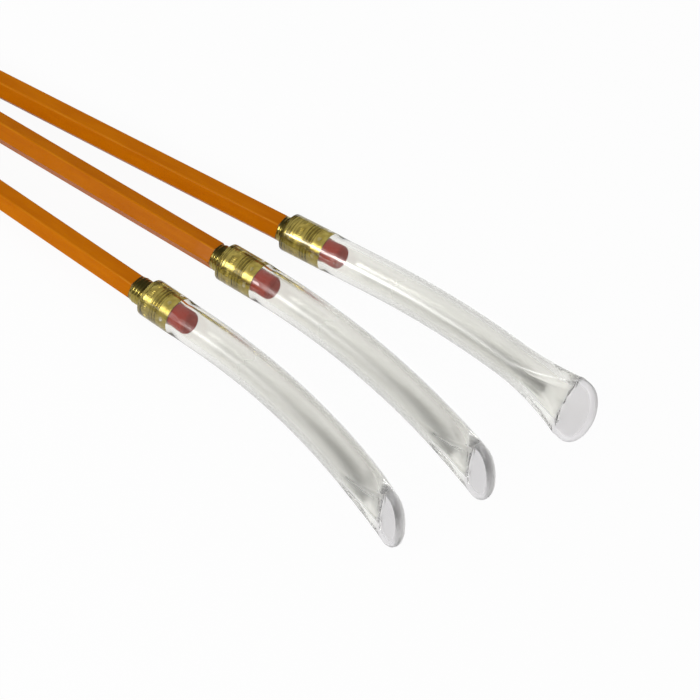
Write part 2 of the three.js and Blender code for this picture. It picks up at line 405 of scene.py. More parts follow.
def lacquer_material():
    material, tree, shader = new_material("orange_lacquer")
    cloud = noise(tree, bench_place(tree, (0.25, 1, 1)), 0.35, detail=2)
    tone = mix_colours(tree, spread(tree, cloud, 0.35, 0.65, 0, 1), colour(190, 103, 0), colour(198, 111, 0))
    streak = noise(tree, bench_place(tree, (0.03, 1, 1)), 3.2, detail=4)
    streaked = mix_colours(tree, spread(tree, streak, 0.45, 0.75, 0, 0.35), tone, colour(180, 94, 0))
    corner = spread(tree, distance_from_axis(tree), 3.9, 4.03, 0, 1)
    worn = product(tree, corner, spread(tree, streak, 0.4, 0.6, 0.1, 0.7))
    put(tree, shader.inputs["Base Color"], mix_colours(tree, worn, streaked, colour(208, 128, 18)))
    peel = noise(tree, bench_place(tree, (0.6, 1, 1)), 1.6, detail=2)
    gloss = spread(tree, noise(tree, bench_place(tree), 0.5, detail=4), 0.3, 0.7, 0.24, 0.36)
    put(tree, shader.inputs["Roughness"], gloss)
    grained = bump(tree, streak, 0.012)
    put(tree, shader.inputs["Normal"], bump(tree, peel, 0.02, normal=grained))
    put(tree, shader.inputs["Specular IOR Level"], 0.06)
    return material


def cedar_material():
    """Bare cedar, with grain along the pencil, marks of the sharpener round it and the glue line."""
    material, tree, shader = new_material("bare_cedar")
    grain = noise(tree, bench_place(tree, (0.12, 1, 1)), 4.0, detail=5, distortion=0.4)
    rings = noise(tree, bench_place(tree, (0.05, 1.0, 1.6)), 1.1, detail=2)
    pale = mix_colours(tree, rings, colour(226, 178, 130), colour(198, 140, 98))
    grained = mix_colours(tree, spread(tree, grain, 0.5, 0.72, 0, 0.8), pale, colour(150, 92, 58))
    place = node(tree, "ShaderNodeSeparateXYZ", {0: bench_place(tree)})
    seam = spread(tree, maths(tree, "ABSOLUTE", place.outputs[2]), 0.03, 0.09, 0.75, 0)
    put(tree, shader.inputs["Base Color"], mix_colours(tree, seam, grained, colour(120, 74, 46)))
    marks = noise(tree, bench_place(tree, (5, 0.35, 0.35)), 1.0, detail=3)
    put(tree, shader.inputs["Roughness"], spread(tree, grain, 0.3, 0.7, 0.62, 0.85))
    fibres = bump(tree, grain, 0.05)
    put(tree, shader.inputs["Normal"], bump(tree, marks, 0.06, normal=fibres))
    return material


def graphite_material():
    material, tree, shader = new_material("graphite")
    grain = noise(tree, bench_place(tree, (1, 1, 1)), 6.0, detail=5)
    put(tree, shader.inputs["Base Color"], mix_colours(tree, grain, colour(46, 47, 50), colour(78, 79, 83)))
    put(tree, shader.inputs["Metallic"], 0.45)
    put(tree, shader.inputs["Roughness"], spread(tree, grain, 0.3, 0.7, 0.32, 0.5))
    scrape = noise(tree, bench_place(tree, (7, 0.6, 0.6)), 1.0, detail=2)
    put(tree, shader.inputs["Normal"], bump(tree, scrape, 0.03))
    return material


def brass_material():
    """Bright rolled brass, darker and greener below the rib tops, partly tarnish and partly painted shade,
    with fine marks round it.
    """
    material, tree, shader = new_material("rolled_brass")
    cloud = noise(tree, bench_place(tree), 0.45, detail=4)
    tone = mix_colours(tree, cloud, colour(216, 202, 118), colour(202, 185, 98))
    # Partly tarnish, partly painted shade: the colour darkens to olive below the rib tops and on the plain
    # sleeve
    groove = spread(tree, distance_from_axis(tree), FERRULE_RADIUS, FERRULE_RADIUS + 0.1, 0.8, 0)
    tarnish_and_shade = product(tree, groove, spread(tree, cloud, 0.3, 0.7, 0.5, 1))
    put(tree, shader.inputs["Base Color"], mix_colours(tree, tarnish_and_shade, tone, colour(118, 98, 36)))
    put(tree, shader.inputs["Metallic"], 1.0)
    rolling = noise(tree, bench_place(tree, (9, 0.4, 0.4)), 1.0, detail=3)
    rolled_rough = spread(tree, rolling, 0.3, 0.7, 0.07, 0.12)
    put(tree, shader.inputs["Roughness"], maths(tree, "ADD", rolled_rough, product(tree, groove, 0.12)))
    dents = noise(tree, bench_place(tree), 1.3, detail=1)
    rolled = bump(tree, rolling, 0.004)
    put(tree, shader.inputs["Normal"], bump(tree, dents, 0.02, normal=rolled))
    return material


def rubber_material():
    """Brick-red eraser rubber, speckled, with graphite rubbed into its rounded edge."""
    material, tree, shader = new_material("eraser_rubber")
    cloud = noise(tree, bench_place(tree), 0.5, detail=3)
    tone = mix_colours(tree, cloud, colour(154, 48, 31), colour(165, 58, 40))
    speckle = spread(tree, noise(tree, bench_place(tree), 7.0, detail=2), 0.6, 0.72, 0, 0.35)
    speckled = mix_colours(tree, speckle, tone, colour(190, 92, 66))
    place = node(tree, "ShaderNodeSeparateXYZ", {0: bench_place(tree)})
    at_end = spread(tree, place.outputs[0], ERASER_TIP - 1.1, ERASER_TIP - 0.1, 0, 1)
    at_edge = spread(tree, distance_from_axis(tree), 1.9, 3.1, 0, 1)
    rubbed = product(tree, at_end, at_edge, spread(tree, cloud, 0.42, 0.6, 0, 0.5))
    put(tree, shader.inputs["Base Color"], mix_colours(tree, rubbed, speckled, colour(112, 58, 52)))
    grit = noise(tree, bench_place(tree), 3.5, detail=4)
    put(tree, shader.inputs["Roughness"], spread(tree, grit, 0.3, 0.7, 0.5, 0.7))
    put(tree, shader.inputs["Specular IOR Level"], 0.15)
    put(tree, shader.inputs["Normal"], bump(tree, grit, 0.07))
    return material


def vinyl_tone(tree, x, rim):
    """Almost white along the tube, a little darker in the pressed face of the tab, and painted lighter at
    the tab's rim as painted light against the shade the rim gets.
    """
    streak = noise(tree, bench_place(tree, (0.03, 1, 1)), 0.5, detail=1)
    streaked = spread(tree, streak, 0.3, 0.7, 0, 1)
    tone = mix_colours(tree, streaked, colour(250, 249, 245), colour(254, 254, 250))
    in_tab = spread(tree, x, SEAL_START - 1.0, SEAL_START + 0.8, 0, 1)
    tone = mix_colours(tree, in_tab, tone, colour(222, 220, 221))
    # Painted light: the tab's rim is painted lighter than its pressed face, against the shade it gets
    return mix_colours(tree, rim, tone, colour(244, 242, 244))


def painted_shade_tone(tree, tone, place, in_bore, past_pencil):
    """The vinyl's tone with painted shade: a grey band painted along the floor of its bore for the shadow
    seen through the tube, and a narrower, darker painted streak in it that ends short of the tab with a
    ragged edge."""
    x, y, z = place
    side_share = product(tree, y, PAINTED_SHADE_SIDEWAYS)
    down_share = product(tree, z, -PAINTED_SHADE_DOWN)
    reach = maths(tree, "DIVIDE", maths(tree, "ADD", side_share, down_share), distance_across(tree))
    cloud = noise(tree, bench_place(tree, (0.06, 0.6, 0.6)), 1.0, detail=2)
    edge = maths(tree, "ADD", reach, spread(tree, cloud, 0.3, 0.7, -0.05, 0.05))
    on_floor = spread(tree, edge, *PAINTED_SHADE_REACH, 0, 1)
    growing = spread(tree, x, *PAINTED_SHADE_GROWS, 0.55, 1)
    ending = spread(tree, x, *PAINTED_SHADE_ENDS, 1, 0.25)
    # Painted shade: the grey band along the bore's floor, for the shadow seen through the tube
    painted_band = product(tree, on_floor, growing, in_bore, past_pencil, ending)
    with_painted_band = mix_colours(tree, painted_band, tone, colour(92, 93, 85))
    ragged = spread(tree, noise(tree, bench_place(tree), 0.9), 0.3, 0.7, -SHADE_STREAK_RAGGED, SHADE_STREAK_RAGGED)
    along = maths(tree, "ADD", x, ragged)
    in_middle = spread(tree, edge, *SHADE_STREAK_REACH, 0, 1)
    # Painted shade: a darker streak inside the band, ending short of the tab
    streak = spread(tree, along, *SHADE_STREAK_GROWS, 0, 1)
    streak = product(tree, streak, spread(tree, along, *SHADE_STREAK_ENDS, 1, 0), in_bore, in_middle)
    return mix_colours(tree, streak, with_painted_band, colour(40, 40, 37))


def vinyl_roughness(tree, x, in_bore, past_pencil, rim):
    """Glossy at the mouth, dull where it has been handled, frosted in the bore and on the tab's rim."""
    haze = noise(tree, bench_place(tree, (0.05, 0.6, 0.6)), 0.8, detail=1)
    handled = maths(tree, "SUBTRACT", spread(tree, x, 15, 50, 0, 0.2), spread(tree, x, 76, 83, 0, 0.1))
    outside = maths(tree, "ADD", spread(tree, haze, 0.3, 0.7, 0.03, 0.06), handled)
    frosted = product(tree, in_bore, past_pencil, 0.1)
    pinched = product(tree, in_bore, spread(tree, x, 70, 84, 0, 0.18))
    inside = maths(tree, "ADD", frosted, pinched)
    return maths(tree, "ADD", maths(tree, "ADD", outside, inside), product(tree, rim, 0.2))


def clear_vinyl_material():
    """Clear soft vinyl. Rays from lamps and from matt surfaces pass it, so that what it covers is lit."""
    material, tree, shader = new_material("clear_vinyl")
    in_bore = node(tree, "ShaderNodeAttribute", attribute_name="in_bore").outputs["Fac"]
    rim = node(tree, "ShaderNodeAttribute", attribute_name="tab_rim").outputs["Fac"]
    place = node(tree, "ShaderNodeSeparateXYZ", {0: bench_place(tree)}).outputs
    x = place[0]
    past_pencil = spread(tree, x, *PAST_PENCIL, 0, 1)
    tone = painted_shade_tone(tree, vinyl_tone(tree, x, rim), place, in_bore, past_pencil)
    put(tree, shader.inputs["Base Color"], tone)
    put(tree, shader.inputs["Roughness"], vinyl_roughness(tree, x, in_bore, past_pencil, rim))
    put(tree, shader.inputs["IOR"], 1.5)
    put(tree, shader.inputs["Transmission Weight"], 1.0)
    waves = noise(tree, bench_place(tree, (0.03, 1, 1)), 0.4, detail=0)
    put(tree, shader.inputs["Normal"], bump(tree, waves, 0.006))
    path = node(tree, "ShaderNodeLightPath").outputs
    let_through = node(tree, "ShaderNodeBsdfTransparent", {"Color": (0.93, 0.935, 0.93, 1)})
    lamps_pass = node(tree, "ShaderNodeMixShader")
    put(tree, lamps_pass.inputs[0], maths(tree, "MAXIMUM", path["Is Shadow Ray"], path["Is Diffuse Ray"]))
    put(tree, lamps_pass.inputs[1], shader.outputs[0])
    put(tree, lamps_pass.inputs[2], let_through.outputs[0])
    show(tree, lamps_pass.outputs[0])
    return material


# The pencil's wood, lacquer and lead


def hexagon():
    """Points round a hexagon with rounded corners and two level flats, as distances and angles."""
    reach = (ACROSS_FLATS / 2 - EDGE_ROUND) / math.cos(math.pi / 6)
    arc_steps = 6
    flat_steps = 10
    outline = []
    for corner in range(6):
        turn = corner * TURN / 6
        centre = reach * np.array([math.cos(turn), math.sin(turn)])
        for step in range(arc_steps + 1):
            angle = turn + (step / arc_steps - 0.5) * TURN / 6
            outline.append(centre + EDGE_ROUND * np.array([math.cos(angle), math.sin(angle)]))
        next_turn = turn + TURN / 6
        leave = outline[-1]
        normal = turn + TURN / 12
        across = reach * np.array([math.cos(next_turn), math.sin(next_turn)])
        arrive = across + EDGE_ROUND * np.array([math.cos(normal), math.sin(normal)])
        for step in range(1, flat_steps):
            outline.append(mix(leave, arrive, step / flat_steps))
    outline = np.array(outline)
    return np.linalg.norm(outline, axis=1), np.arctan2(outline[:, 1], outline[:, 0])


def cone_place(radius):
    """Where along the pencil the sharpened cone has this radius."""
    return -PENCIL_LENGTH + radius / SLOPE


def cedar_body(unit):
    """The wood: bored for its lead, sharpened, cut to a round tenon, and just under its lacquer."""
    outer, angles = hexagon()
    under = outer - LACQUER_THICKNESS
    rings = [round_ring(TENON_LENGTH, LEAD_BORE_RADIUS, angles)]
    rings.append(round_ring(cone_place(LEAD_BORE_RADIUS), LEAD_BORE_RADIUS, angles))
    cone_steps = 26
    for step in range(1, cone_steps + 1):
        radius = mix(LEAD_BORE_RADIUS, under, step / cone_steps)
        rings.append(round_ring(cone_place(radius), radius, angles))
    buried = under - 0.03
    rings.append(round_ring(cone_place(under) + 0.2, buried, angles))
    for place in np.linspace(cone_place(under.max()) + 1, SHOULDER_PLACE - 0.02, 12):
        rings.append(round_ring(place, buried, angles))
    rings.append(round_ring(SHOULDER_PLACE, TENON_RADIUS, angles))
    rings.append(round_ring(TENON_LENGTH - 0.2, TENON_RADIUS, angles))
    rings.append(round_ring(TENON_LENGTH, TENON_RADIUS - 0.2, angles))
    return skin(f"{unit}_cedar_body", rings, "loop")


def lacquer_coat(unit):
    """The lacquer: a thin coat over the hexagon, cut by the sharpener in a scallop on each flat."""
    outer, angles = hexagon()
    inner = outer - LACQUER_THICKNESS
    start = cone_place(outer)
    rings = []
    steps = 24
    for step in range(steps + 1):
        rings.append(round_ring(mix(start, SHOULDER_PLACE - 0.12, step / steps), outer, angles))
    rings.append(round_ring(SHOULDER_PLACE - 0.03, outer - 0.03, angles))
    rings.append(round_ring(SHOULDER_PLACE, outer - 0.07, angles))
    rings.append(round_ring(SHOULDER_PLACE - 0.01, inner, angles))
    for step in range(1, steps + 1):
        rings.append(round_ring(mix(SHOULDER_PLACE - 0.01, cone_place(inner), step / steps), inner, angles))
    return skin(f"{unit}_lacquer_coat", rings, "loop")


def lead_core(unit):
    """The graphite core, with a sharpened point that is a little rounded from use."""
    angles = circle(48)
    rings = []
    point_steps = 8
    tip = cone_place(LEAD_POINT_RADIUS) - LEAD_POINT_RADIUS * 0.7
    for step in range(1, point_steps + 1):
        turn = step / point_steps * math.pi / 2
        place = mix(cone_place(LEAD_POINT_RADIUS), tip, math.cos(turn))
        rings.append(round_ring(place, LEAD_POINT_RADIUS * math.sin(turn), angles))
    for radius in np.linspace(LEAD_POINT_RADIUS, LEAD_RADIUS, 12)[1:]:
        rings.append(round_ring(cone_place(radius), radius, angles))
    for place in np.linspace(cone_place(LEAD_RADIUS) + 2, TENON_LENGTH, 8):
        rings.append(round_ring(place, LEAD_RADIUS, angles))
    return skin(f"{unit}_graphite_lead", rings, "ends")


# The ferrule


def ferrule_blank(unit):
    """The plain brass sleeve with rolled lips and the small punched dents that hold the eraser."""
    angles = circle(108)
    rings = [round_ring(0, FERRULE_BORE + 0.03, angles)]
    for step in range(1, 4):
        turn = step / 4 * math.pi / 2
        place = LIP_ROUND * (1 - math.sin(turn))
        rings.append(round_ring(place, FERRULE_RADIUS - LIP_ROUND * (1 - math.sin(turn)), angles))
    for place in np.arange(LIP_ROUND, FERRULE_LENGTH - LIP_ROUND, 0.075):
        radius = np.full_like(angles, FERRULE_RADIUS)
        for crimp in range(CRIMP_COUNT):
            away = np.angle(np.exp(1j * (angles - (crimp + 0.35) / CRIMP_COUNT * TURN))) * FERRULE_RADIUS
            span = (place - CRIMP_PLACE) ** 2 + away ** 2
            radius -= CRIMP_DEPTH * np.exp(-span / CRIMP_SPREAD ** 2)
        rings.append(round_ring(place, radius, angles))
    rings.append(round_ring(FERRULE_LENGTH - LIP_ROUND * 0.4, FERRULE_RADIUS - LIP_ROUND * 0.3, angles))
    rings.append(round_ring(FERRULE_LENGTH, FERRULE_RADIUS - LIP_ROUND, angles))
    rings.append(round_ring(FERRULE_LENGTH, FERRULE_BORE + 0.03, angles))
    for place in np.linspace(FERRULE_LENGTH - 0.1, 0.1, 12):
        rings.append(round_ring(place, FERRULE_BORE, angles))
    return skin(f"{unit}_brass_ferrule", rings, "loop")


def new_tree(name, sockets):
    """A Geometry Nodes tree with these named inputs and one geometry out."""
    tree = bpy.data.node_groups.new(name, "GeometryNodeTree")
    tree.interface.new_socket(name="Geometry", in_out="OUTPUT", socket_type="NodeSocketGeometry")
    tree.interface.new_socket(name="Geometry", in_out="INPUT", socket_type="NodeSocketGeometry")
    for label, kind in sockets.items():
        tree.interface.new_socket(name=label, in_out="INPUT", socket_type=f"NodeSocket{kind}")
    return tree, node(tree, "NodeGroupInput").outputs, node(tree, "NodeGroupOutput")


def hand_out(tree, geometry, material, result):
    """Makes the tree's instances real, sets their material and hands them out."""
    real = node(tree, "GeometryNodeRealizeInstances", {0: geometry})
    done = node(tree, "GeometryNodeSetMaterial", {"Geometry": real.outputs[0], "Material": material})
    put(tree, result.inputs[0], done.outputs[0])


def set_inputs(obj, tree, values):
    """Puts the tree on the object as a modifier, and sets its inputs by their identifiers."""
    modifier = obj.modifiers.new(tree.name, "NODES")
    modifier.node_group = tree
    for item in tree.interface.items_tree:
        if item.in_out == "INPUT" and item.name in values:
            modifier[item.identifier] = values[item.name]


def rib_run(tree, x, given, start, count):
    """How far a run of rolled ribs rises at x, as a share of the rib height."""
    along = maths(tree, "DIVIDE", maths(tree, "SUBTRACT", x, given[start]), given["Rib Pitch"])
    within = product(tree, maths(tree, "FRACT", along), given["Rib Pitch"])
    share = maths(tree, "MINIMUM", maths(tree, "DIVIDE", within, given["Rib Width"]), 1.0)
    rise = maths(tree, "SINE", product(tree, share, math.pi))
    begun = maths(tree, "GREATER_THAN", along, 0.0)
    going_on = maths(tree, "LESS_THAN", along, given[count])
    return product(tree, rise, product(tree, begun, going_on))


def rolling_tree():
    """Rolls the two runs of ribs and the raised band into a plain sleeve."""
    lengths = [
        "Sleeve Radius", "Rib Height", "Rib Width", "Rib Pitch", "Rear Start", "Front Start",
        "Band Start", "Band Length", "Band Height", "Band Shoulder",
    ]
    sockets = {label: "Float" for label in lengths}
    sockets.update({"Rear Count": "Int", "Front Count": "Int", "Brass": "Material"})
    tree, given, result = new_tree("roll_ribs_and_band", sockets)
    place = node(tree, "GeometryNodeInputPosition").outputs[0]
    x, y, z = node(tree, "ShaderNodeSeparateXYZ", {0: place}).outputs
    flat = node(tree, "ShaderNodeCombineXYZ", {"Y": y, "Z": z}).outputs[0]
    radius = node(tree, "ShaderNodeVectorMath", {0: flat}, operation="LENGTH").outputs["Value"]
    outward = node(tree, "ShaderNodeVectorMath", {0: flat}, operation="NORMALIZE").outputs[0]
    ribs = maths(
        tree, "ADD",
        rib_run(tree, x, given, "Rear Start", "Rear Count"),
        rib_run(tree, x, given, "Front Start", "Front Count"),
    )
    past = maths(tree, "SUBTRACT", x, given["Band Start"])
    left = maths(tree, "SUBTRACT", given["Band Length"], past)
    ramp = maths(tree, "DIVIDE", maths(tree, "MINIMUM", past, left), given["Band Shoulder"])
    band = node(tree, "ShaderNodeMapRange", {"Value": ramp}, interpolation_type="SMOOTHSTEP").outputs[0]
    lift = maths(
        tree, "ADD",
        product(tree, ribs, given["Rib Height"]),
        product(tree, band, given["Band Height"]),
    )
    skin_only = maths(tree, "GREATER_THAN", radius, maths(tree, "SUBTRACT", given["Sleeve Radius"], 0.05))
    push = product(tree, lift, skin_only)
    offset = node(tree, "ShaderNodeVectorMath", {0: outward, "Scale": push}, operation="SCALE").outputs[0]
    moved = node(tree, "GeometryNodeSetPosition", {"Geometry": given["Geometry"], "Offset": offset})
    hand_out(tree, moved.outputs[0], given["Brass"], result)
    return tree


def ridge():
    """One small pressed ridge, along x, with its top towards +y and tapered ends."""
    rings = []
    for share in (-1.0, -0.93, -0.78, 0.78, 0.93, 1.0):
        taper = math.sqrt(max(1 - (abs(share) - 0.7) ** 2 / 0.3 ** 2, 0.03)) if abs(share) > 0.7 else 1.0
        angles = circle(8)
        height = RIDGE_HEIGHT * taper * np.sin(angles)
        width = RIDGE_WIDTH / 2 * taper * np.cos(angles)
        rings.append(np.stack([np.full(8, share * RIDGE_LENGTH / 2), height, width], 1))
    return skin("band_ridge", rings, "ends")


def ridges_tree():
    """Sets groups of ridges evenly round the band."""
    sockets = {
        "Ridge": "Object", "Groups": "Int", "Ridges in Group": "Int", "Ridge Angle": "Float",
        "First Angle": "Float", "Band Middle": "Float", "Band Radius": "Float", "Brass": "Material",
    }
    tree, given, result = new_tree("set_ridges_round_band", sockets)
    index = node(tree, "GeometryNodeInputIndex").outputs[0]
    total = product(tree, given["Groups"], given["Ridges in Group"])
    group = maths(tree, "FLOOR", maths(tree, "DIVIDE", index, given["Ridges in Group"]))
    member = maths(tree, "MODULO", index, given["Ridges in Group"])
    group_turn = product(tree, group, maths(tree, "DIVIDE", TURN, given["Groups"]))
    group_turn = maths(tree, "ADD", group_turn, given["First Angle"])
    turn = maths(tree, "ADD", group_turn, product(tree, member, given["Ridge Angle"]))
    y = product(tree, maths(tree, "COSINE", turn), given["Band Radius"])
    z = product(tree, maths(tree, "SINE", turn), given["Band Radius"])
    place = node(tree, "ShaderNodeCombineXYZ", {"X": given["Band Middle"], "Y": y, "Z": z}).outputs[0]
    points = node(tree, "GeometryNodePoints", {"Count": total, "Position": place})
    euler = node(tree, "ShaderNodeCombineXYZ", {"X": turn}).outputs[0]
    rotation = node(tree, "FunctionNodeEulerToRotation", {0: euler}).outputs[0]
    shape = node(tree, "GeometryNodeObjectInfo", {"Object": given["Ridge"]})
    inputs = {"Points": points.outputs[0], "Instance": shape.outputs["Geometry"], "Rotation": rotation}
    set_out = node(tree, "GeometryNodeInstanceOnPoints", inputs)
    hand_out(tree, set_out.outputs[0], given["Brass"], result)
    return tree


def brass_ferrule(unit, tree, brass):
    obj = ferrule_blank(unit)
    set_inputs(obj, tree, {
        "Sleeve Radius": FERRULE_RADIUS, "Rib Height": RIB_HEIGHT, "Rib Width": RIB_WIDTH,
        "Rib Pitch": RIB_PITCH, "Rear Start": REAR_RIB_START, "Rear Count": REAR_RIB_COUNT,
        "Front Start": FRONT_RIB_START, "Front Count": FRONT_RIB_COUNT, "Band Start": BAND_START,
        "Band Length": BAND_LENGTH, "Band Height": BAND_HEIGHT, "Band Shoulder": BAND_SHOULDER,
        "Brass": brass,
    })
    return apply_modifiers(obj)


def band_ridges(unit, tree, shape, brass):
    mesh = bpy.data.meshes.new(f"{unit}_band_ridges")
    obj = bpy.data.objects.new(f"{unit}_band_ridges", mesh)
    bpy.context.scene.collection.objects.link(obj)
    band_radius = FERRULE_RADIUS + BAND_HEIGHT
    set_inputs(obj, tree, {
        "Ridge": shape, "Groups": RIDGE_GROUPS, "Ridges in Group": RIDGES_IN_GROUP,
        "Ridge Angle": RIDGE_PITCH / band_radius, "First Angle": FIRST_RIDGE_ANGLE,
        "Band Middle": BAND_START + BAND_LENGTH / 2, "Band Radius": band_radius, "Brass": brass,
    })
    return apply_modifiers(obj)


# The eraser


def eraser_plug(unit, seed):
    """The rubber plug: swollen a little past the ferrule's lip, rounded and uneven from use."""
    angles = circle(96)
    chance = np.random.default_rng(seed)
    phases = chance.uniform(0, TURN, 3)
    uneven = 0.02 * np.sin(2 * angles + phases[0]) + 0.015 * np.sin(3 * angles + phases[1])
    rear = TENON_LENGTH + 0.1
    rings = [round_ring(rear, ERASER_RADIUS * share, angles) for share in (0.5, 0.97)]
    rings.append(round_ring(rear + 0.1, ERASER_RADIUS, angles))
    rings.append(round_ring(FERRULE_LENGTH - 0.1, ERASER_RADIUS, angles))
    shoulder = ERASER_TIP - ERASER_EDGE_ROUND
    for place in np.linspace(FERRULE_LENGTH + 0.15, shoulder, 24):
        swell = 0.07 * math.exp(-(place - FERRULE_LENGTH) / 1.2)
        share = smooth_step(place, FERRULE_LENGTH, FERRULE_LENGTH + 2)
        rings.append(round_ring(place, ERASER_RADIUS + swell + uneven * share, angles))
    for step in range(1, 15):
        turn = step / 14 * math.pi / 2
        flat = ERASER_RADIUS - ERASER_EDGE_ROUND
        radius = flat + ERASER_EDGE_ROUND * math.cos(turn) + uneven * math.cos(turn)
        place = shoulder + ERASER_EDGE_ROUND * math.sin(turn) - ERASER_CROWN * (radius / ERASER_RADIUS) ** 2
        rings.append(round_ring(place, radius, angles))
    for share in np.linspace(1, 0.02, 12)[1:]:
        radius = (ERASER_RADIUS - ERASER_EDGE_ROUND) * share
        rings.append(round_ring(ERASER_TIP - ERASER_CROWN * (radius / ERASER_RADIUS) ** 2, radius, angles))
    return skin(f"{unit}_rubber_eraser", rings, "ends")


# The chewable tube

ARC_STEPS = 52
FLAT_STEPS = 32
FLAT_LEAN = math.radians(20)


def ring_layout():
    """For each point round a ring: where it is across the flat, from -1 to 1, and the angle of its
    outward direction from the tab's face towards the tab's edge."""
    arc = np.linspace(FLAT_LEAN, math.pi - FLAT_LEAN, ARC_STEPS, endpoint=False)
    across = np.linspace(1, -1, FLAT_STEPS, endpoint=False)
    flat = np.concatenate([np.ones(ARC_STEPS), across, -np.ones(ARC_STEPS), -across])
    angle = np.concatenate([arc, math.pi - FLAT_LEAN * across, math.pi + arc, -FLAT_LEAN * across])
    return flat, angle


FLAT, ANGLE = ring_layout()
FACE = np.sign(np.cos(ANGLE))


def pinch(distance, overrun):
    """How far the tube is pinched: 0 while it is round, 1 from overrun past the heat seal."""
    return float(np.clip((distance - PINCH_START) / (PINCH_LENGTH + overrun), 0, 1)) ** PINCH_POWER


def lip_place(unit):
    """Where the ferrule's front lip is inside the tube, from the tube's mouth."""
    return FERRULE_LENGTH - UNITS[unit]["mouth"]


def past_lip(distance, unit):
    return smooth_step(distance, lip_place(unit), lip_place(unit) + STRETCH_EASE)


def centreline(distance, unit):
    """The tube's middle and its sideways direction: straight at first, then one even bend."""
    straight = UNITS[unit]["straight"]
    radius = (TUBE_LENGTH - straight) / math.radians(UNITS[unit]["bend"])
    angle = max(0.0, distance - straight) / radius
    along = UNITS[unit]["mouth"] + min(distance, straight) + radius * math.sin(angle)
    middle = np.array([along, -radius * (1 - math.cos(angle)), 0])
    return middle, np.array([math.sin(angle), math.cos(angle), 0])


def tube_ring(distance, unit, wide, thick):
    """The ring's points, from how far each lies along the tab's width and through its thickness. They
    come twice: in the bent tube, and where they would be if it were straight."""
    middle, side = centreline(distance, unit)
    roll = math.radians(UNITS[unit]["tab_roll"])
    sideways = math.cos(roll) * wide - math.sin(roll) * thick
    upwards = math.sin(roll) * wide + math.cos(roll) * thick
    up = np.array([0, 0, 1])
    bent = middle + sideways[:, None] * side + upwards[:, None] * up
    straight = np.stack([np.full_like(sideways, distance), sideways, upwards], 1)
    return bent, straight


def facet_dip(distance, round_radius, radius):
    """How far the pinched wall has sunk in to a flat three-cornered facet, which runs from its tip down
    to the pressed face of the tab."""
    tip = SEAL_START - FACET_LENGTH
    tip_radius = mix(round_radius, TAB_THICKNESS / 2, pinch(tip, FLARE_OVERRUN))
    face = TAB_THICKNESS / 2 - RIM_STEP
    level = mix(tip_radius, face, np.clip((distance - tip) / FACET_LENGTH, 0, 1))
    return max(radius - level, 0) if distance > tip else 0.0


def facet_profile():
    """The facet's depth across the flat as a share: nothing outside its creases."""
    return 1 - np.minimum(np.abs(FLAT) / FACET_SHARE, 1) ** 2.5


def tab_outline(distance):
    """Half the tab's width at a distance along the tube."""
    share = np.clip((distance - (TUBE_LENGTH - TAB_END_ROUND)) / TAB_END_ROUND, 0, 1)
    return TAB_WIDTH / 2 * (1 - share ** TAB_END_POWER) ** (1 / TAB_END_POWER)


def distance_to_edge(wide, distance):
    """About how far a point of the tab is from the tab's edge."""
    half = TAB_WIDTH / 2
    across = np.abs(wide) / half
    along = np.maximum(distance - (TUBE_LENGTH - TAB_END_ROUND), 0) / TAB_END_ROUND
    power = TAB_END_POWER
    level = np.maximum((across ** power + along ** power), 1e-9) ** (1 / power)
    steep_across = (across / level) ** (power - 1) / half
    steep_along = (along / level) ** (power - 1) / TAB_END_ROUND
    slope = np.sqrt(steep_across ** 2 + steep_along ** 2)
    return np.maximum(1 - level, 0) / np.maximum(slope, 1e-6)


def half_thickness(wide, distance):
    """The tab's half thickness: a full round edge, a rim, and a face pressed a little lower."""
    radius = TAB_THICKNESS / 2
    inside = distance_to_edge(wide, distance)
    edge = np.clip(1 - inside / radius, 0, 1)
    return radius * np.sqrt(1 - edge ** 2) - RIM_STEP * smooth_step(inside, RIM_WIDTH, RIM_WIDTH + 0.7)


# Dents on the tab's outer face: across it, past the seal, depth and size
SEAL_DENTS = {
    "front": [(2.2, 0.9, 0.22, 0.6), (-4.8, 0.8, 0.25, 0.6)],
    "middle": [(4.4, 0.9, 0.22, 0.6), (-3.9, 1.0, 0.2, 0.7)],
    "back": [(1.1, 0.8, 0.3, 0.6), (-6.6, 1.0, 0.3, 0.7), (-1.6, 4.6, 0.12, 1.1)],
}


def pressed_marks(wide, distance, unit):
    """How deep the heat seal's line and the dents beside it are pressed. The dents are on one face."""
    line = SEAL_GROOVE * math.exp(-(((distance - SEAL_START) / SEAL_WIDTH) ** 2))
    depth = line * (1 - smooth_step(np.abs(wide), SLIT_HALF_WIDTH, SLIT_HALF_WIDTH + 0.8))
    for across, past_seal, deep, spread_mm in SEAL_DENTS[unit]:
        span = (wide - across) ** 2 + (distance - SEAL_START - past_seal) ** 2
        depth = depth + deep * np.exp(-span / spread_mm ** 2) * (FACE > 0)
    return depth


def outer_ring(distance, unit):
    share = pinch(distance, FLARE_OVERRUN)
    round_radius = TUBE_RADIUS + STRETCH * (1 - past_lip(distance, unit))
    radius = mix(round_radius, TAB_THICKNESS / 2, share)
    wide = TAB_HALF_FLAT * share * FLAT + radius * np.sin(ANGLE)
    thick = radius * np.cos(ANGLE) - FACE * facet_dip(distance, round_radius, radius) * facet_profile()
    if distance > SEAL_START:
        wide = wide * min(1, tab_outline(distance) / (TAB_WIDTH / 2))
        settled = smooth_step(distance, SEAL_START, SEAL_START + FLARE_OVERRUN)
        thick = mix(thick, FACE * half_thickness(wide, distance), settled)
    if distance > SEAL_START - 3:
        room = np.clip(np.abs(thick) / (TAB_THICKNESS / 2), 0, 1)
        thick = thick - FACE * pressed_marks(wide, distance, unit) * room
    return tube_ring(distance, unit, wide, thick)


